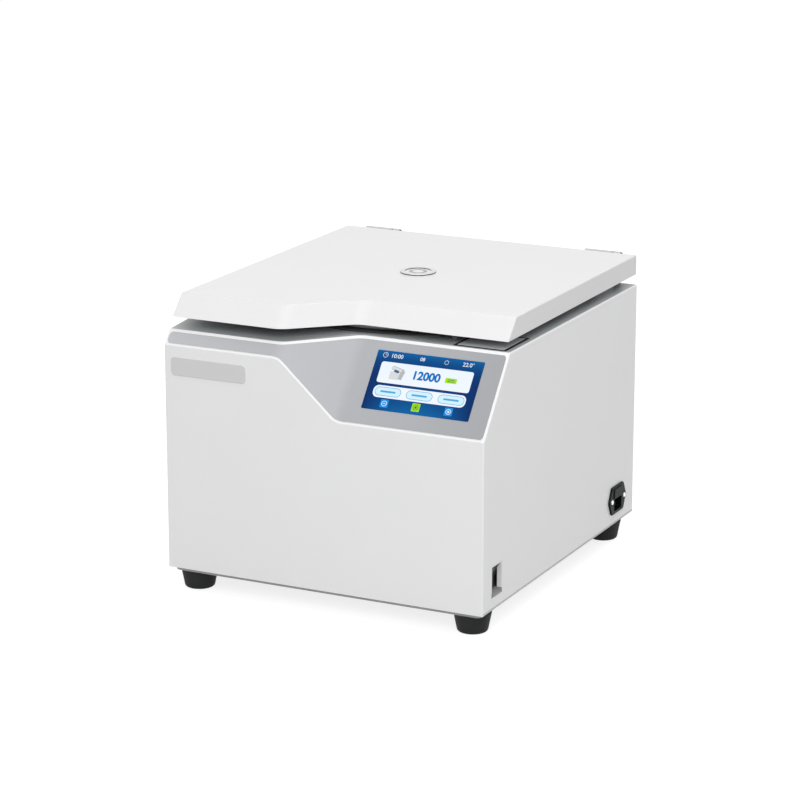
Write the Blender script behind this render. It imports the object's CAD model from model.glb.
from math import cos, radians, sin

import bpy
from mathutils import Matrix, Vector


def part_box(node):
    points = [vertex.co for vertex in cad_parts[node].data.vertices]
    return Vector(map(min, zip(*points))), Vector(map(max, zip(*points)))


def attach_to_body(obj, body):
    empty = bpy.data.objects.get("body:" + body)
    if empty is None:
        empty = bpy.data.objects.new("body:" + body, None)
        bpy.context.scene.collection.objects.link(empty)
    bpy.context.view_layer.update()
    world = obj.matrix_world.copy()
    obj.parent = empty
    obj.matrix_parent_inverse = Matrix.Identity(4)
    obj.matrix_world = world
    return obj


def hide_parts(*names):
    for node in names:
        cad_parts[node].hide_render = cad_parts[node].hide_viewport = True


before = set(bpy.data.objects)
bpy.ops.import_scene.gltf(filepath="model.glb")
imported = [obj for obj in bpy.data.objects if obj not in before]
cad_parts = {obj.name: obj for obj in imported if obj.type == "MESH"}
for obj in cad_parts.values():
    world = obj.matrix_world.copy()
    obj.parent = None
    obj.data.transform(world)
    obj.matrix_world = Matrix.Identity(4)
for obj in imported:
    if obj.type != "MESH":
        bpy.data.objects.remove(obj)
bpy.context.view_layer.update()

# The camera stands in front of the machine and to its right, a little above it.
# It looks from far off through a long lens, as product pictures are taken.
CAMERA_TURN = radians(26.36)
CAMERA_LIFT = radians(15.29)
CAMERA_DISTANCE = 3.7725
CAMERA_LENS = 134.2
CAMERA_REACH = 100
AIM_RIGHT = -0.0091
AIM_MIDDLE = Vector((0, -0.0109, 0.2128))


def way_out(turn, lift):
    """The way out from the machine, turned from its front towards its right and lifted."""
    return Vector((sin(turn) * cos(lift), -cos(turn) * cos(lift), sin(lift)))


to_camera = way_out(CAMERA_TURN, CAMERA_LIFT)
to_right = Vector((cos(CAMERA_TURN), sin(CAMERA_TURN), 0))
bpy.ops.object.select_all(action="DESELECT")
bpy.ops.object.camera_add(location=AIM_MIDDLE + AIM_RIGHT * to_right + CAMERA_DISTANCE * to_camera)
camera = bpy.context.object
camera.name = "camera"
camera.rotation_euler = to_camera.to_track_quat("Z", "Y").to_euler()
camera.data.lens = CAMERA_LENS
camera.data.clip_end = CAMERA_REACH
bpy.context.scene.camera = camera
bpy.context.scene.view_settings.view_transform = "Standard"


# Studio: a pale floor, an even white sky, a broad lamp beside the camera and one overhead.
# The sky and the floor look white to the camera, and the floor keeps a soft shadow.
class Field:
    """A socket in a material. Sums on it add Math nodes, and node() adds any other node."""

    def __init__(self, tree, socket):
        self.tree = tree
        self.socket = socket

    def node(self, kind, settings, inputs, output=0):
        """Add a node: its settings first, then values or fields into its sockets."""
        made = self.tree.nodes.new("ShaderNode" + kind)
        stops = settings.pop("stops", None)
        for name, value in settings.items():
            setattr(made, name, value)
        if stops:
            made.color_ramp.elements.remove(made.color_ramp.elements[1])
            for i, (place, shade) in enumerate(stops):
                stop = made.color_ramp.elements[0] if i == 0 else made.color_ramp.elements.new(place)
                stop.position = place
                stop.color = (*shade, 1)
        for name, value in inputs.items():
            if isinstance(value, Field):
                self.tree.links.new(value.socket, made.inputs[name])
            else:
                made.inputs[name].default_value = value
        return Field(self.tree, made.outputs[output])

    def math(self, operation, *values):
        """Add a Math node."""
        return self.node("Math", {"operation": operation}, dict(enumerate(values)))

    def __add__(self, other):
        return self.math("ADD", self, other)

    __radd__ = __add__

    def __sub__(self, other):
        return self.math("SUBTRACT", self, other)

    def __rsub__(self, other):
        return self.math("SUBTRACT", other, self)

    def __mul__(self, other):
        return self.math("MULTIPLY", self, other)

    __rmul__ = __mul__

    def __truediv__(self, other):
        return self.math("DIVIDE", self, other)

    def __pow__(self, other):
        return self.math("POWER", self, other)

    def __abs__(self):
        return self.math("ABSOLUTE", self)

    def __gt__(self, other):
        return self.math("GREATER_THAN", self, other)

    def __lt__(self, other):
        return self.math("LESS_THAN", self, other)

    def noise(self, size, detail=2.0):
        """Soft mottling on these coordinates, with lumps about this big in metres."""
        return self.node("TexNoise", {}, {"Vector": self, "Scale": 1 / size, "Detail": detail})

    def split(self):
        """The three numbers of a vector, as fields."""
        parts = self.node("SeparateXYZ", {}, {0: self})
        outputs = parts.socket.node.outputs
        return [Field(self.tree, outputs[i]) for i in range(3)]

    def blend(self, first, second):
        """Two colours mixed by this field: the first where it is 0, the second where it is 1."""
        inputs = {0: self, 6: (*first, 1) if isinstance(first, tuple) else first}
        inputs[7] = (*second, 1) if isinstance(second, tuple) else second
        return self.node("Mix", {"data_type": "RGBA"}, inputs, output=2)


SKY_LEVEL = 0.56
FLOOR_SHADE = 0.50
FLOOR_GLOW = 0.80
FLOOR_SHADOW_SHARE = 0.36
FLOOR_SIZE = 40.0
KEY_TURN = radians(30)
KEY_LIFT = radians(31)
KEY_DISTANCE = 4.2
KEY_SIZE = 2.2
KEY_POWER = 84.0
TOP_HEIGHT = 3.6
TOP_SIZE = 3.0
TOP_POWER = 46.0


def on_view(field):
    """1 on rays from the camera, a mirror or glass, and 0 on rays that only light things."""
    rays = field.node("LightPath", {}, {}).socket.node.outputs
    direct = Field(field.tree, rays["Is Camera Ray"])
    mirrored = Field(field.tree, rays["Is Glossy Ray"])
    through = Field(field.tree, rays["Is Transmission Ray"])
    return direct.math("MAXIMUM", direct, direct.math("MAXIMUM", mirrored, through))


def plain_grey(level):
    """A grey as the colour of a socket."""
    return (level, level, level, 1)


world = bpy.data.worlds.new("studio_sky")
bpy.context.scene.world = world
world.use_nodes = True
sky_shader = world.node_tree.nodes["Background"]
sky_shader.inputs["Color"].default_value = plain_grey(1)
sky = Field(world.node_tree, sky_shader.outputs[0])
sky_level = on_view(sky) * (1 - SKY_LEVEL) + SKY_LEVEL
world.node_tree.links.new(sky_level.socket, sky_shader.inputs["Strength"])

bpy.ops.object.select_all(action="DESELECT")
bpy.ops.mesh.primitive_plane_add(size=FLOOR_SIZE)
floor = bpy.context.object
floor.name = "studio_floor"
floor_paint = bpy.data.materials.new("studio_floor")
floor_paint.use_nodes = True
floor_tree = floor_paint.node_tree
floor_tree.nodes.remove(floor_tree.nodes["Principled BSDF"])
floor_out = Field(floor_tree, None)
floor_lit = floor_out.node("BsdfDiffuse", {}, {"Color": plain_grey(FLOOR_SHADE)})
floor_shadow = floor_out.node("BsdfDiffuse", {}, {"Color": plain_grey(FLOOR_SHADOW_SHARE)})
floor_glow = floor_out.node("Emission", {}, {"Strength": FLOOR_GLOW})
floor_shown = floor_out.node("AddShader", {}, {0: floor_shadow, 1: floor_glow})
floor_mix = floor_out.node("MixShader", {}, {0: on_view(floor_out), 1: floor_lit, 2: floor_shown})
floor_tree.links.new(floor_mix.socket, floor_tree.nodes["Material Output"].inputs["Surface"])
floor.data.materials.append(floor_paint)


def lamp(name, spot, size, power):
    """A square soft lamp at this spot, turned to the middle of the machine."""
    bpy.ops.object.light_add(type="AREA", location=spot)
    made = bpy.context.object
    made.name = name
    made.rotation_euler = (spot - AIM_MIDDLE).to_track_quat("Z", "Y").to_euler()
    made.data.size = size
    made.data.energy = power


lamp("key_lamp", AIM_MIDDLE + KEY_DISTANCE * way_out(KEY_TURN, KEY_LIFT), KEY_SIZE, KEY_POWER)
lamp("top_lamp", Vector((0, 0, TOP_HEIGHT)), TOP_SIZE, TOP_POWER)


# Cabinet shell: folded and welded sheet steel with a fine satin powder coat.
# The coat has a faint orange peel and a finer grain, and its colour drifts a little.
# The flat deck under the lid is grey, and so is the hem along the foot of each side.
def coating(name, colour, roughness, metallic=0.0):
    """A material with its shader's plain values set, and its object coordinates as a field."""
    material = bpy.data.materials.new(name)
    material.use_nodes = True
    tree = material.node_tree
    shader = tree.nodes["Principled BSDF"]
    shader.inputs["Base Color"].default_value = (*colour, 1)
    shader.inputs["Roughness"].default_value = roughness
    shader.inputs["Metallic"].default_value = metallic
    place = Field(tree, tree.nodes.new("ShaderNodeTexCoord").outputs["Object"])
    return material, shader, place


def attach(field, shader, name):
    """Feed a field into a socket of the shader."""
    field.tree.links.new(field.socket, shader.inputs[name])


def roughened(field, shader, roughness, spread):
    """Let the roughness vary with a field, this far from its least to its most."""
    attach(field * spread + (roughness - spread / 2), shader, "Roughness")


def bumped(field, shader, depth):
    """Use a field as the height of the surface, this deep in metres."""
    bump = field.node("Bump", {}, {"Height": field, "Distance": depth, "Strength": 1.0})
    attach(bump, shader, "Normal")


def shaded(colour, share):
    """A colour with its light scaled to a share."""
    return tuple(share * part for part in colour)


COAT_DRIFT_SIZE = 0.12
COAT_PEEL_SIZE = 0.004
COAT_GRAIN_SIZE = 0.0007
COAT_GRAIN_DETAIL = 4.0
COAT_FADE = 0.975
COAT_PEEL_SHARE = 0.6
COAT_DEPTH = 0.00003


def painted_sheet(name, colour, roughness):
    """Powder coat on sheet metal: slow drift of colour, orange peel, fine grain."""
    material, shader, place = coating(name, colour, roughness)
    drift = place.noise(COAT_DRIFT_SIZE)
    peel = place.noise(COAT_PEEL_SIZE)
    grain = place.noise(COAT_GRAIN_SIZE, COAT_GRAIN_DETAIL)
    attach(drift.blend(shaded(colour, COAT_FADE), colour), shader, "Base Color")
    roughened(grain, shader, roughness, spread=0.10)
    bumped(peel * COAT_PEEL_SHARE + grain * (1 - COAT_PEEL_SHARE), shader, COAT_DEPTH)
    return material


def undercoat(material):
    """What a second paint goes over: the shader, its colour so far, the place and the facing."""
    tree = material.node_tree
    shader = tree.nodes["Principled BSDF"]
    coordinates = tree.nodes["Texture Coordinate"].outputs
    colour = Field(tree, shader.inputs["Base Color"].links[0].from_socket)
    return shader, colour, Field(tree, coordinates["Object"]), Field(tree, coordinates["Normal"])


def finish(material, *nodes):
    """Give these pieces of the frame their material."""
    for name in nodes:
        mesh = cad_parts[name].data
        mesh.materials.clear()
        mesh.materials.append(material)


CABINET_WHITE = (0.805, 0.805, 0.810)
DECK_GREY = (0.385, 0.412, 0.415)
HEM_GREY = (0.48, 0.48, 0.49)
HEM_TOP = 0.0329
SQUARENESS = 0.985
cabinet_paint = painted_sheet("cabinet_paint", CABINET_WHITE, roughness=0.34)
cabinet_shader, wall_colour, cabinet_place, cabinet_facing = undercoat(cabinet_paint)
side_facing, _, deck_facing = cabinet_facing.split()
on_hem = (abs(side_facing) > SQUARENESS) * (cabinet_place.split()[2] < HEM_TOP)
hemmed_colour = on_hem.blend(wall_colour, HEM_GREY)
attach((deck_facing > SQUARENESS).blend(hemmed_colour, DECK_GREY), cabinet_shader, "Base Color")
finish(cabinet_paint, "cabinet_shell")

# Base tray: a shallow casting in darker grey paint that closes the cabinet below.
# Its lower part shows as a thin lip under the cabinet's walls.
TRAY_GREY = (0.38, 0.38, 0.39)
finish(painted_sheet("tray_paint", TRAY_GREY, roughness=0.42), "base_tray")

# Rubber feet: four tapered feet moulded in black rubber, matt with fine pits.
# Each is held from below by a zinc-plated screw.
RUBBER_BLACK = (0.012, 0.0125, 0.013)
RUBBER_SHINE = 0.2
RUBBER_PIT_SIZE = 0.0005
RUBBER_PIT_DETAIL = 3.0
RUBBER_BLOOM_SIZE = 0.02
RUBBER_BLOOM = 1.5
RUBBER_DEPTH = 0.00006


def rubber(name, colour, roughness):
    """Moulded rubber: pitted, with a faint dusty bloom."""
    material, shader, place = coating(name, colour, roughness)
    shader.inputs["Specular IOR Level"].default_value = RUBBER_SHINE
    pits = place.noise(RUBBER_PIT_SIZE, RUBBER_PIT_DETAIL)
    bloom = place.noise(RUBBER_BLOOM_SIZE)
    attach(bloom.blend(colour, shaded(colour, RUBBER_BLOOM)), shader, "Base Color")
    roughened(pits, shader, roughness, spread=0.2)
    bumped(pits, shader, RUBBER_DEPTH)
    return material


finish(rubber("foot_rubber", RUBBER_BLACK, roughness=0.62), "rubber_feet")

ZINC = (0.70, 0.71, 0.72)
WEAR_SIZE = 0.002
WEAR_DETAIL = 4.0
WEAR_FADE = 0.9
WEAR_DEPTH = 0.00001


def plated(name, colour, roughness):
    """Plated or machined metal with a soft uneven polish."""
    material, shader, place = coating(name, colour, roughness, metallic=1.0)
    wear = place.noise(WEAR_SIZE, WEAR_DETAIL)
    attach(wear.blend(shaded(colour, WEAR_FADE), colour), shader, "Base Color")
    roughened(wear, shader, roughness, spread=0.16)
    bumped(wear, shader, WEAR_DEPTH)
    return material


zinc_plate = plated("zinc_plate", ZINC, roughness=0.28)
finish(zinc_plate, "foot_screws")

# Control overlay: grey polyester film over the three front facets, finely frosted.
# It is glued flat on the cabinet, and its grey deepens from left to right.
OVERLAY_GREY = (0.450, 0.460, 0.478)
OVERLAY_SHADE = (0.315, 0.324, 0.340)
OVERLAY_WIDTH = 0.42
OVERLAY_ROUGHNESS = 0.42
FROST_SIZE = 0.0004
FROST_DETAIL = 3.0
FROST_DEPTH = 0.00002
FILM_DRIFT_SIZE = 0.09
FILM_DRIFT_SHARE = 0.2
overlay_film, film_shader, film_place = coating("overlay_film", OVERLAY_GREY, OVERLAY_ROUGHNESS)
film_frost = film_place.noise(FROST_SIZE, FROST_DETAIL)
film_across = film_place.split()[0] / OVERLAY_WIDTH + 0.5
film_drift = film_place.noise(FILM_DRIFT_SIZE) * FILM_DRIFT_SHARE + (film_across - FILM_DRIFT_SHARE / 2)
film_tone = film_drift.node("Clamp", {}, {"Value": film_drift})
attach(film_tone.blend(OVERLAY_GREY, OVERLAY_SHADE), film_shader, "Base Color")
roughened(film_frost, film_shader, OVERLAY_ROUGHNESS, spread=0.12)
bumped(film_frost, film_shader, FROST_DEPTH)
finish(overlay_film, "control_overlay")

# Display: a sheet of glass in the overlay's window, lit from behind.
# Its ground is navy, with a blue glow along its head and in the middle of its foot.
PANEL_TILT = radians(51.9)
SCREEN_WIDTH = 0.1405
SCREEN_HEIGHT = 0.0770
SCREEN_THICKNESS = 0.0010
SCREEN_CORNER = 0.0012
SCREEN_NAVY = (0.002, 0.026, 0.135)
SCREEN_BLUE = (0.003, 0.120, 0.36)
SCREEN_SHINE = 0.05
GLASS_BLACK = (0.001, 0.003, 0.010)
HEAD_FALL = 6.0
FOOT_FALL = 3.0
FOOT_GLOW = 1.1
glass_low, glass_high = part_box("display_glass")
SCREEN_MIDDLE = (glass_low + glass_high) / 2
screen_place = Matrix.Translation(SCREEN_MIDDLE) @ Matrix.Rotation(PANEL_TILT, 4, "X")


def settle(piece, place):
    """Put a piece that was made flat at the origin in its place, with the place in its mesh."""
    bpy.ops.object.select_all(action="DESELECT")
    piece.select_set(True)
    bpy.context.view_layer.objects.active = piece
    piece.matrix_world = place
    bpy.ops.object.transform_apply(location=True, rotation=True, scale=True)


bpy.ops.object.select_all(action="DESELECT")
bpy.ops.mesh.primitive_cube_add(size=1)
screen = bpy.context.object
screen.name = "display_screen"
screen.scale = (SCREEN_WIDTH, SCREEN_HEIGHT, SCREEN_THICKNESS)
bpy.ops.object.transform_apply(scale=True)
bpy.ops.object.mode_set(mode="EDIT")
bpy.ops.mesh.select_all(action="DESELECT")
bpy.ops.object.mode_set(mode="OBJECT")
for edge in screen.data.edges:
    low, high = (screen.data.vertices[i].co for i in edge.vertices)
    edge.select = abs(low.z - high.z) > SCREEN_THICKNESS / 2
bpy.ops.object.mode_set(mode="EDIT")
bpy.ops.mesh.bevel(offset=SCREEN_CORNER, segments=5)
bpy.ops.object.mode_set(mode="OBJECT")
settle(screen, screen_place)

screen_glass, screen_shader, glass_place = coating("display_glass", GLASS_BLACK, roughness=0.12)
on_panel = glass_place.node(
    "Mapping",
    {"vector_type": "TEXTURE"},
    {"Vector": glass_place, "Location": SCREEN_MIDDLE, "Rotation": (PANEL_TILT, 0, 0)},
)
across, up = on_panel.split()[:2]
head_glow = (up / SCREEN_HEIGHT + 0.5) ** HEAD_FALL
foot_glow = (0.5 - up / SCREEN_HEIGHT) ** FOOT_FALL * (1 - (across / SCREEN_WIDTH * 2.0) ** 2.0)
glow = head_glow + foot_glow * FOOT_GLOW
attach(glow.blend(SCREEN_NAVY, SCREEN_BLUE), screen_shader, "Emission Color")
screen_shader.inputs["Emission Strength"].default_value = 1.0
screen_shader.inputs["Specular IOR Level"].default_value = SCREEN_SHINE
screen.data.materials.append(screen_glass)
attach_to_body(screen, "housing")
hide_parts("display_glass")

# Picture on the display: flat shapes of glowing ink, each layer a hair above the one below.
# It is a generic one, with plain numbers, blank buttons and simple signs.
INK_BODY = 0.05
INK_ROUGHNESS = 0.3
INK_STEP = 0.00006
TEXT_SIZE = 1.4
CORNER_STEPS = 7
artwork_parts = []


def lit(name, foot, head=None):
    """Ink that glows in one colour at the picture's foot and may turn to another at its head."""
    material, shader, place = coating(name, shaded(foot, INK_BODY), INK_ROUGHNESS)
    shader.inputs["Specular IOR Level"].default_value = SCREEN_SHINE
    rise = (place.split()[2] - glass_low.z) / (glass_high.z - glass_low.z)
    attach(rise.blend(foot, head or foot), shader, "Emission Color")
    shader.inputs["Emission Strength"].default_value = 1.0
    return material


def lay_on_screen(shape, spot, layer, ink, turn=0.0):
    """Lay a flat shape at shares of the picture's width and of its height below its head."""
    x = (spot[0] - 0.5) * SCREEN_WIDTH
    y = (0.5 - spot[1]) * SCREEN_HEIGHT
    level = SCREEN_THICKNESS / 2 + layer * INK_STEP
    settle(shape, Matrix.Translation((x, y, level)) @ Matrix.Rotation(turn, 4, "Z"))
    shape.data.materials.append(ink)
    artwork_parts.append(shape)


def screen_shape(spot, width, height, corner, layer, ink, turn=0.0):
    """A flat rounded shape of the picture."""
    bpy.ops.object.select_all(action="DESELECT")
    bpy.ops.mesh.primitive_plane_add(size=1)
    shape = bpy.context.object
    shape.scale = (width, height, 1)
    bpy.ops.object.transform_apply(scale=True)
    bpy.ops.object.mode_set(mode="EDIT")
    bpy.ops.mesh.select_all(action="SELECT")
    bpy.ops.mesh.bevel(offset=corner, segments=CORNER_STEPS, affect="VERTICES")
    bpy.ops.object.mode_set(mode="OBJECT")
    lay_on_screen(shape, spot, layer, ink, turn)


def screen_ring(spot, radius, line, layer, ink, sides=28):
    """A flat ring of the picture."""
    bpy.ops.object.select_all(action="DESELECT")
    bpy.ops.mesh.primitive_circle_add(vertices=sides, radius=radius, fill_type="NGON")
    shape = bpy.context.object
    bpy.ops.object.mode_set(mode="EDIT")
    bpy.ops.mesh.select_all(action="SELECT")
    bpy.ops.mesh.inset(thickness=line)
    bpy.ops.mesh.delete(type="FACE")
    bpy.ops.object.mode_set(mode="OBJECT")
    lay_on_screen(shape, spot, layer, ink)


def screen_text(spot, words, height, layer, ink, boldness=0.012):
    """Plain numbers of the picture, centred on their spot."""
    bpy.ops.object.select_all(action="DESELECT")
    bpy.ops.object.text_add()
    letters = bpy.context.object.data
    letters.body = words
    letters.size = height * TEXT_SIZE
    letters.offset = height * boldness
    letters.align_x = "CENTER"
    letters.align_y = "CENTER"
    bpy.ops.object.convert(target="MESH")
    lay_on_screen(bpy.context.object, spot, layer, ink)


ink_white = lit("ink_white", (0.86, 0.90, 0.98), (0.80, 0.87, 0.98))
ink_pale = lit("ink_pale", (0.60, 0.84, 0.97), (0.66, 0.87, 0.98))
ink_outline = lit("ink_outline", (0.09, 0.36, 0.64), (0.10, 0.38, 0.66))
ink_blue = lit("ink_blue", (0.004, 0.16, 0.50))
ink_sky = lit("ink_sky", (0.010, 0.26, 0.72), (0.02, 0.30, 0.78))
ink_green = lit("ink_green", (0.34, 0.72, 0.002), (0.36, 0.74, 0.004))
ink_grey = lit("ink_grey", (0.42, 0.44, 0.46), (0.46, 0.48, 0.50))
ink_mist = lit("ink_mist", (0.62, 0.63, 0.64), (0.70, 0.71, 0.72))
ink_dark = lit("ink_dark", (0.06, 0.10, 0.16))

# Status row: a clock with its hands, the time left, a run number, a six-sided sign and the warmth
STATUS_ROW = 0.080
STATUS_NUMBER = 0.0052
RUN_NUMBER = 0.0046
screen_ring((0.080, 0.075), radius=0.0034, line=0.0005, layer=1, ink=ink_white)
screen_shape((0.080, 0.060), width=0.0004, height=0.0022, corner=0.0001, layer=1, ink=ink_white)
screen_shape((0.089, 0.076), width=0.0020, height=0.0004, corner=0.0001, layer=1, ink=ink_white)
screen_text((0.190, STATUS_ROW), "10:00", STATUS_NUMBER, layer=1, ink=ink_white)
screen_text((0.430, STATUS_ROW), "08", RUN_NUMBER, layer=1, ink=ink_white)
screen_ring((0.655, STATUS_ROW), radius=0.0030, line=0.0004, layer=1, ink=ink_white, sides=6)
screen_text((0.850, STATUS_ROW), "22.0", STATUS_NUMBER, layer=1, ink=ink_white)
screen_ring((0.905, 0.050), radius=0.0009, line=0.0003, layer=1, ink=ink_white, sides=12)

# Card with the speed, and at its right a green tag with two bars
CARD_WIDTH = 0.1215
SPEED_NUMBER = 0.0106
screen_shape((0.498, 0.363), CARD_WIDTH, height=0.0273, corner=0.0030, layer=1, ink=ink_white)
screen_text((0.508, 0.363), "12000", SPEED_NUMBER, layer=2, ink=ink_blue, boldness=0.055)
screen_shape((0.742, 0.373), width=0.0150, height=0.0066, corner=0.0006, layer=2, ink=ink_green)
for bar_row in (0.360, 0.388):
    screen_shape((0.742, bar_row), width=0.0090, height=0.0008, corner=0.0003, layer=3, ink=ink_dark)

# At the card's left, a small drawing of a box with a raised lid and a window in it
LID_LEAN = radians(-14)
WINDOW_SPOT = (0.226, 0.330)
screen_shape((0.215, 0.400), width=0.0130, height=0.0105, corner=0.0006, layer=2, ink=ink_mist)
for spot, width, height, corner, layer, ink in (
    ((0.278, 0.385), 0.0055, 0.0118, 0.0005, 2, ink_grey),
    ((0.236, 0.296), 0.0165, 0.0052, 0.0010, 3, ink_grey),
    ((0.222, 0.290), 0.0150, 0.0036, 0.0010, 4, ink_mist),
    (WINDOW_SPOT, 0.0070, 0.0032, 0.0014, 5, ink_dark),
    (WINDOW_SPOT, 0.0046, 0.0018, 0.0008, 6, ink_blue),
):
    screen_shape(spot, width, height, corner, layer, ink, LID_LEAN)

# Bar with three buttons, each an outlined pill with a plain stroke
BUTTON_ROW = 0.685
screen_shape((0.496, 0.687), CARD_WIDTH, height=0.0158, corner=0.0066, layer=1, ink=ink_white)
for column in (0.203, 0.497, 0.793):
    button = (column, BUTTON_ROW)
    screen_shape(button, width=0.0345, height=0.0115, corner=0.0057, layer=2, ink=ink_outline)
    screen_shape(button, width=0.0331, height=0.0101, corner=0.0050, layer=3, ink=ink_pale)
    screen_shape(button, width=0.0200, height=0.0024, corner=0.0008, layer=4, ink=ink_outline)

# Three square signs along the foot: a ring round a dash, a square and a diamond
SIGN_ROW = 0.882
for column, ink, ring_ink, width, height, turn in (
    (0.200, ink_sky, ink_white, 0.0030, 0.0008, 0.0),
    (0.496, ink_green, ink_dark, 0.0026, 0.0026, 0.0),
    (0.800, ink_sky, ink_white, 0.0024, 0.0024, radians(45)),
):
    sign = (column, SIGN_ROW)
    screen_shape(sign, width=0.0105, height=0.0105, corner=0.0010, layer=1, ink=ink)
    screen_ring(sign, radius=0.0035, line=0.0007, layer=2, ink=ring_ink)
    screen_shape(sign, width, height, corner=0.0003, layer=2, ink=ring_ink, turn=turn)


def joined(parts, name):
    """Join parts into one piece."""
    bpy.ops.object.select_all(action="DESELECT")
    for part in parts:
        part.select_set(True)
    bpy.context.view_layer.objects.active = parts[0]
    bpy.ops.object.join()
    bpy.context.object.name = name
    return bpy.context.object


artwork = joined(artwork_parts, "display_picture")
settle(artwork, screen_place)
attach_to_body(artwork, "housing")

# Blank plate: a thin plate with rounded corners, glued to the front below the overlay's left.
# Its satin face carries nothing, and is a little darker than the coat around it.
PLATE_GREY = (0.62, 0.62, 0.625)
finish(painted_sheet("plate_face", PLATE_GREY, roughness=0.3), "badge_plate")

# Power switch: a rocker of black moulded plastic on a pin, in a moulded pocket.
# The pocket is white at its mouth, black around the rocker, and grey on its sill.
SWITCH_BLACK = (0.009, 0.0095, 0.010)
POCKET_WHITE = (0.76, 0.76, 0.77)
SILL_GREY = (0.30, 0.30, 0.31)
SILL_TOP = 0.0513
SURROUND_REACH = 0.2090
PLASTIC_GRAIN_SIZE = 0.0005
PLASTIC_GRAIN_DETAIL = 5.0
PLASTIC_DRIFT_SIZE = 0.03
PLASTIC_DRIFT = 1.12
PLASTIC_DEPTH = 0.00004


def moulded(name, colour, roughness, shine=0.5):
    """Moulded plastic: spark-eroded grain, and a slow drift of colour."""
    material, shader, place = coating(name, colour, roughness)
    shader.inputs["Specular IOR Level"].default_value = shine
    grain = place.noise(PLASTIC_GRAIN_SIZE, PLASTIC_GRAIN_DETAIL)
    drift = place.noise(PLASTIC_DRIFT_SIZE)
    attach(drift.blend(colour, shaded(colour, PLASTIC_DRIFT)), shader, "Base Color")
    roughened(grain, shader, roughness, spread=0.14)
    bumped(grain, shader, PLASTIC_DEPTH)
    return material


pocket_plastic = moulded("pocket_plastic", POCKET_WHITE, roughness=0.35, shine=0.15)
pocket_shader, _, pocket_place, _ = undercoat(pocket_plastic)
pocket_x, _, pocket_z = pocket_place.split()
wall_tone = (pocket_x > SURROUND_REACH).blend(SWITCH_BLACK, POCKET_WHITE)
attach((pocket_z > SILL_TOP).blend(SILL_GREY, wall_tone), pocket_shader, "Base Color")
finish(pocket_plastic, "switch_pocket")

# On the rocker are the usual plain signs for off and on, printed in white.
# They are a small ring below its pin and an upright bar above it.
SIGN_WHITE = (0.62, 0.62, 0.62)
ROCKER_Y = -0.20575
ROCKER_Z = 0.0678
SIGN_RISE = 0.0085
SIGN_LINE = 0.0006
RING_REACH = 0.0026
BAR_REACH = 0.0030
rocker_plastic = moulded("switch_plastic", SWITCH_BLACK, roughness=0.42, shine=0.12)
rocker_shader, rocker_colour, rocker_place, _ = undercoat(rocker_plastic)
_, rocker_y, rocker_z = rocker_place.split()
aside = rocker_y - ROCKER_Y
above_ring = rocker_z - (ROCKER_Z - SIGN_RISE)
above_bar = rocker_z - (ROCKER_Z + SIGN_RISE)
on_ring = abs((aside ** 2.0 + above_ring ** 2.0) ** 0.5 - RING_REACH) < SIGN_LINE
on_bar = (abs(aside) < SIGN_LINE) * (abs(above_bar) < BAR_REACH)
attach((on_ring + on_bar).blend(rocker_colour, SIGN_WHITE), rocker_shader, "Base Color")
finish(rocker_plastic, "power_rocker")

# Power inlet: black glass-filled plastic with a fuse drawer above its three metal blades.
# Two nickel-plated screws hold it by its ears.
INLET_BLACK = (0.004, 0.0045, 0.005)
DRAWER_BLACK = (0.012, 0.0128, 0.0132)
NICKEL = (0.96, 0.96, 0.96)
BLADE_GREY = (0.16, 0.16, 0.16)
finish(moulded("inlet_plastic", INLET_BLACK, roughness=0.38, shine=0.08), "inlet_body")
finish(moulded("drawer_plastic", DRAWER_BLACK, roughness=0.45, shine=0.10), "fuse_drawer")
finish(zinc_plate, "fuses")
finish(plated("screw_nickel", NICKEL, roughness=0.38), "inlet_screws")
finish(plated("blade_metal", BLADE_GREY, roughness=0.35), "inlet_blades")

# Deck cover: a plate of grey sheet flush in the deck, on a flange that reaches under it.
# The groove all round it is dark.
COVER_GREY = (0.68, 0.70, 0.705)
GROOVE_BLACK = (0.010, 0.010, 0.010)
GROOVE_LEVEL = 0.3345
COVER_GRAIN_SIZE = 0.0006
COVER_GRAIN_DETAIL = 3.0
COVER_DEPTH = 0.00002
cover_paint, cover_shader, cover_place = coating("cover_paint", COVER_GREY, roughness=0.4)
above_groove = cover_place.split()[2] > GROOVE_LEVEL
attach(above_groove.blend(GROOVE_BLACK, COVER_GREY), cover_shader, "Base Color")
bumped(cover_place.noise(COVER_GRAIN_SIZE, COVER_GRAIN_DETAIL), cover_shader, COVER_DEPTH)
finish(cover_paint, "deck_cover")

# Around the deck cover a flat strip of black rubber lies over the groove.
# Just inside the strip, the plate has a narrow rim of paler paint.
STRIP_BLACK = (0.006, 0.006, 0.006)
RIM_WHITE = (0.93, 0.94, 0.94)
COVER_FLANGE = 0.003
COVER_GAP = 0.0016
STRIP_LEVEL = 0.3362
STRIP_MARGIN = 0.0012
RIM_LEVEL = 0.3363
RIM_LINE = 0.0010
DECK_DIAGONAL = Vector((1, 1, 0))


def flat_frame(name, low, high, level, line, material):
    """A thin flat frame on the deck between two corners, this wide all round."""
    bpy.ops.object.select_all(action="DESELECT")
    bpy.ops.mesh.primitive_plane_add(size=1, location=(low + high) / 2)
    frame_piece = bpy.context.object
    frame_piece.name = name
    frame_piece.scale = (high.x - low.x, high.y - low.y, 1)
    frame_piece.location.z = level
    bpy.ops.object.transform_apply(location=True, scale=True)
    bpy.ops.object.mode_set(mode="EDIT")
    bpy.ops.mesh.select_all(action="SELECT")
    bpy.ops.mesh.inset(thickness=line)
    bpy.ops.mesh.delete(type="FACE")
    bpy.ops.object.mode_set(mode="OBJECT")
    frame_piece.data.materials.append(material)
    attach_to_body(frame_piece, "housing")


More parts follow.
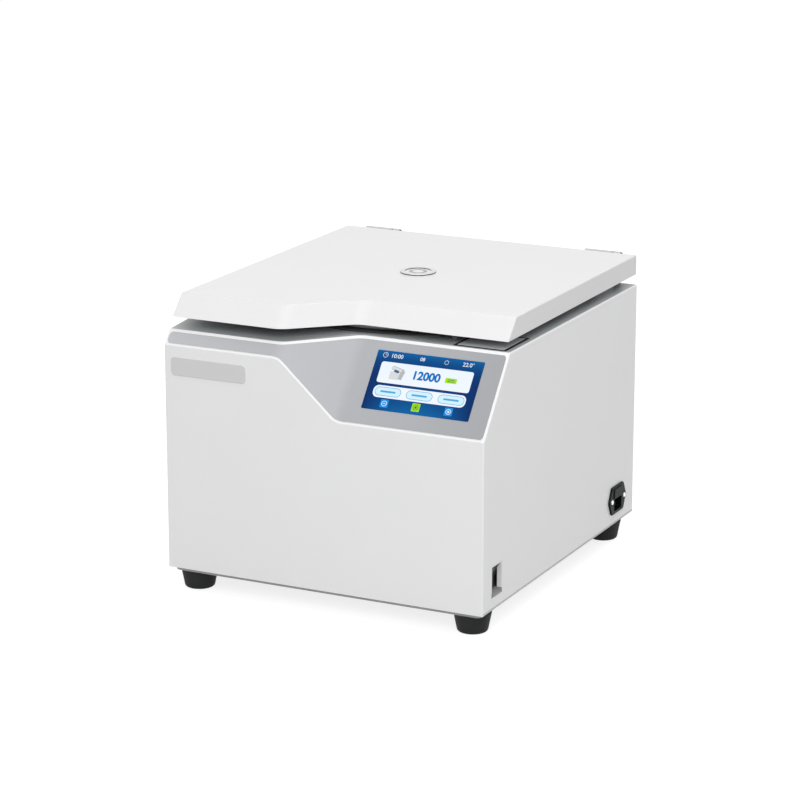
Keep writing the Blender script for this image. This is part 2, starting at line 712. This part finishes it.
cover_low, cover_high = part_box("deck_cover")
strip_width = COVER_GAP + 2 * STRIP_MARGIN
strip_low = cover_low + (COVER_FLANGE - STRIP_MARGIN) * DECK_DIAGONAL
strip_high = cover_high - (COVER_FLANGE - STRIP_MARGIN) * DECK_DIAGONAL
rim_low = strip_low + strip_width * DECK_DIAGONAL
rim_high = strip_high - strip_width * DECK_DIAGONAL
strip_rubber = rubber("strip_rubber", STRIP_BLACK, roughness=0.6)
rim_paint = painted_sheet("rim_paint", RIM_WHITE, roughness=0.4)
flat_frame("cover_strip", strip_low, strip_high, STRIP_LEVEL, strip_width, strip_rubber)
flat_frame("cover_rim", rim_low, rim_high, RIM_LEVEL, RIM_LINE, rim_paint)

# Chamber: a bowl pressed from stainless sheet, with circular brush marks.
# A black rubber gasket lies on the deck round its mouth, and a seal closes it round the shaft.
STAINLESS = (0.60, 0.60, 0.60)
GASKET_BLACK = (0.030, 0.031, 0.032)
CHAMBER_Y = 0.02005
RING_DETAIL = 3.0
RING_FADE = 0.82
RING_DEPTH = 0.00002


def turned_metal(name, colour, roughness, ring_pitch):
    """Metal turned or brushed about the chamber's axis: fine rings, some deeper than others."""
    material, shader, place = coating(name, colour, roughness, metallic=1.0)
    x, y, z = place.split()
    reach = (x ** 2.0 + (y - CHAMBER_Y) ** 2.0) ** 0.5
    profile = place.node("CombineXYZ", {}, {0: reach, 1: z})
    rings = profile.noise(ring_pitch, RING_DETAIL)
    attach(rings.blend(shaded(colour, RING_FADE), colour), shader, "Base Color")
    roughened(rings, shader, roughness, spread=0.2)
    bumped(rings, shader, RING_DEPTH)
    return material


finish(turned_metal("bowl_steel", STAINLESS, roughness=0.30, ring_pitch=0.0012), "chamber_bowl")
finish(rubber("gasket_rubber", GASKET_BLACK, roughness=0.55), "chamber_gasket", "shaft_seal")

# Guard ring, its posts and the motor plate: thick steel in grey primer.
# The ring stands on its posts around the bowl, and the plate below carries the motor.
PRIMER_GREY = (0.18, 0.19, 0.20)
finish(painted_sheet("primer", PRIMER_GREY, roughness=0.55), "guard_ring", "guard_posts", "motor_plate")

# Motor and electronics, out of sight in the cabinet.
# They are cast and stamped metal, rubber dampers, a green board and grey plastic modules.
CAST_ALUMINIUM = (0.55, 0.56, 0.57)
MOTOR_GREY = (0.30, 0.30, 0.31)
BOARD_GREEN = (0.02, 0.14, 0.05)
MODULE_GREY = (0.25, 0.25, 0.26)
cast_metal = plated("cast_metal", CAST_ALUMINIUM, roughness=0.45)
motor_steel = plated("motor_steel", MOTOR_GREY, roughness=0.4)
finish(cast_metal, "motor_housing", "drive_unit", "line_filter")
finish(motor_steel, "motor_stator", "motor_bearings", "motor_armature")
finish(rubber("damper_rubber", RUBBER_BLACK, roughness=0.6), "motor_dampers")
finish(moulded("board_green", BOARD_GREEN, roughness=0.4), "control_board")
finish(moulded("module_grey", MODULE_GREY, roughness=0.4), "display_module", "lock_motor")

# Rotor: turned from an aluminium billet and anodised dark, on a steel shaft.
# It has a lighter turned cover with a rubber seal, screwed down by a black knob.
ROTOR_DARK = (0.16, 0.17, 0.19)
COVER_METAL = (0.50, 0.51, 0.52)
KNOB_BLACK = (0.020, 0.021, 0.022)
finish(turned_metal("rotor_anodised", ROTOR_DARK, roughness=0.34, ring_pitch=0.0009), "rotor")
finish(turned_metal("rotor_cover_metal", COVER_METAL, roughness=0.26, ring_pitch=0.0010), "rotor_cover")
finish(turned_metal("shaft_steel", STAINLESS, roughness=0.2, ring_pitch=0.0008), "drive_shaft")
finish(rubber("cover_seal_rubber", RUBBER_BLACK, roughness=0.5), "cover_seal")
finish(moulded("knob_plastic", KNOB_BLACK, roughness=0.4), "rotor_knob")

# Lid lock: a ground steel bar that slides in primed guides under the deck.
# Its bolts go through the eyes of two grey strikers that hang from the lid.
STRIKER_GREY = (0.20, 0.205, 0.21)
finish(plated("ground_steel", STAINLESS, roughness=0.25), "lock_bar")
finish(painted_sheet("guide_paint", PRIMER_GREY, roughness=0.5), "lock_guides")
finish(painted_sheet("striker_grey", STRIKER_GREY, roughness=0.6), "lid_strikers")

# Lid: a pressed sheet shell with a smoother coat than the cabinet's, over an inner plate.
# A liner moulded in grey plastic closes it below, held by zinc-plated screws.
LID_WHITE = (0.725, 0.725, 0.725)
LID_SHINE = 0.3
LINER_GREY = (0.30, 0.306, 0.312)
lid_paint = painted_sheet("lid_paint", LID_WHITE, roughness=0.30)
lid_paint.node_tree.nodes["Principled BSDF"].inputs["Specular IOR Level"].default_value = LID_SHINE
finish(lid_paint, "lid_shell")
finish(plated("lid_plate_metal", CAST_ALUMINIUM, roughness=0.4), "lid_plate")
finish(moulded("liner_plastic", LINER_GREY, roughness=0.4), "lid_liner")
finish(zinc_plate, "lid_screws")

# View port: a plated sleeve through the lid, bright on its flange and dark on its wall.
# The window just under its rim is clear, with a darker band part of the way out.
CHROME = (0.68, 0.68, 0.69)
CHROME_METALLIC = 0.5
PORT_EDGE = (0.02, 0.02, 0.021)
UPWARD = 0.5
WINDOW_TINT = (0.80, 0.81, 0.82)
WINDOW_SHADE = (0.24, 0.25, 0.26)
WINDOW_CLEARNESS = 0.15
WINDOW_HAZE_SIZE = 0.008
WINDOW_HAZE_SHARE = 0.16
port_chrome = plated("port_chrome", CHROME, roughness=0.12)
port_shader, flange_colour, _, port_facing = undercoat(port_chrome)
port_shader.inputs["Metallic"].default_value = CHROME_METALLIC
attach((port_facing.split()[2] > UPWARD).blend(PORT_EDGE, flange_colour), port_shader, "Base Color")
finish(port_chrome, "port_sleeve")

window_clear, window_shader, window_place = coating("window_clear", WINDOW_TINT, roughness=0.08)
window_shader.inputs["Transmission Weight"].default_value = WINDOW_CLEARNESS
window_low, window_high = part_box("port_window")
window_middle = (window_low + window_high) / 2
window_radius = (window_high.x - window_low.x) / 2
window_x, window_y = window_place.split()[:2]
from_middle = ((window_x - window_middle.x) ** 2.0 + (window_y - window_middle.y) ** 2.0) ** 0.5
radius_share = from_middle / window_radius + window_place.noise(WINDOW_HAZE_SIZE) * WINDOW_HAZE_SHARE
window_stops = (
    (0.00, WINDOW_TINT),
    (0.44, WINDOW_TINT),
    (0.56, WINDOW_SHADE),
    (0.70, WINDOW_SHADE),
    (0.84, WINDOW_TINT),
)
window_tone = radius_share.node("ValToRGB", {"stops": window_stops}, {"Fac": radius_share})
attach(window_tone, window_shader, "Base Color")
finish(window_clear, "port_window")

# Hinges: brackets and leaves of painted steel, turning on dark phosphated pins.
# Zinc-plated screws hold the brackets to the rear wall.
HINGE_GREY = (0.48, 0.48, 0.485)
PIN_BLACK = (0.035, 0.036, 0.038)
finish(painted_sheet("hinge_paint", HINGE_GREY, roughness=0.4), "hinge_brackets", "hinge_leaves")
finish(plated("phosphated_steel", PIN_BLACK, roughness=0.5), "hinge_pins")
finish(zinc_plate, "bracket_screws")

# Rear panel: painted sheet with air slots, screwed over the back of the cabinet.
# Behind its round opening is a black plastic fan, and outside it a guard of bright wire.
REAR_GREY = (0.74, 0.74, 0.745)
FAN_BLACK = (0.020, 0.020, 0.021)
finish(painted_sheet("rear_paint", REAR_GREY, roughness=0.4), "rear_panel")
finish(zinc_plate, "panel_screws")
finish(moulded("fan_plastic", FAN_BLACK, roughness=0.5), "fan_frame", "fan_impeller")
finish(plated("guard_wire", CHROME, roughness=0.2), "fan_guard")
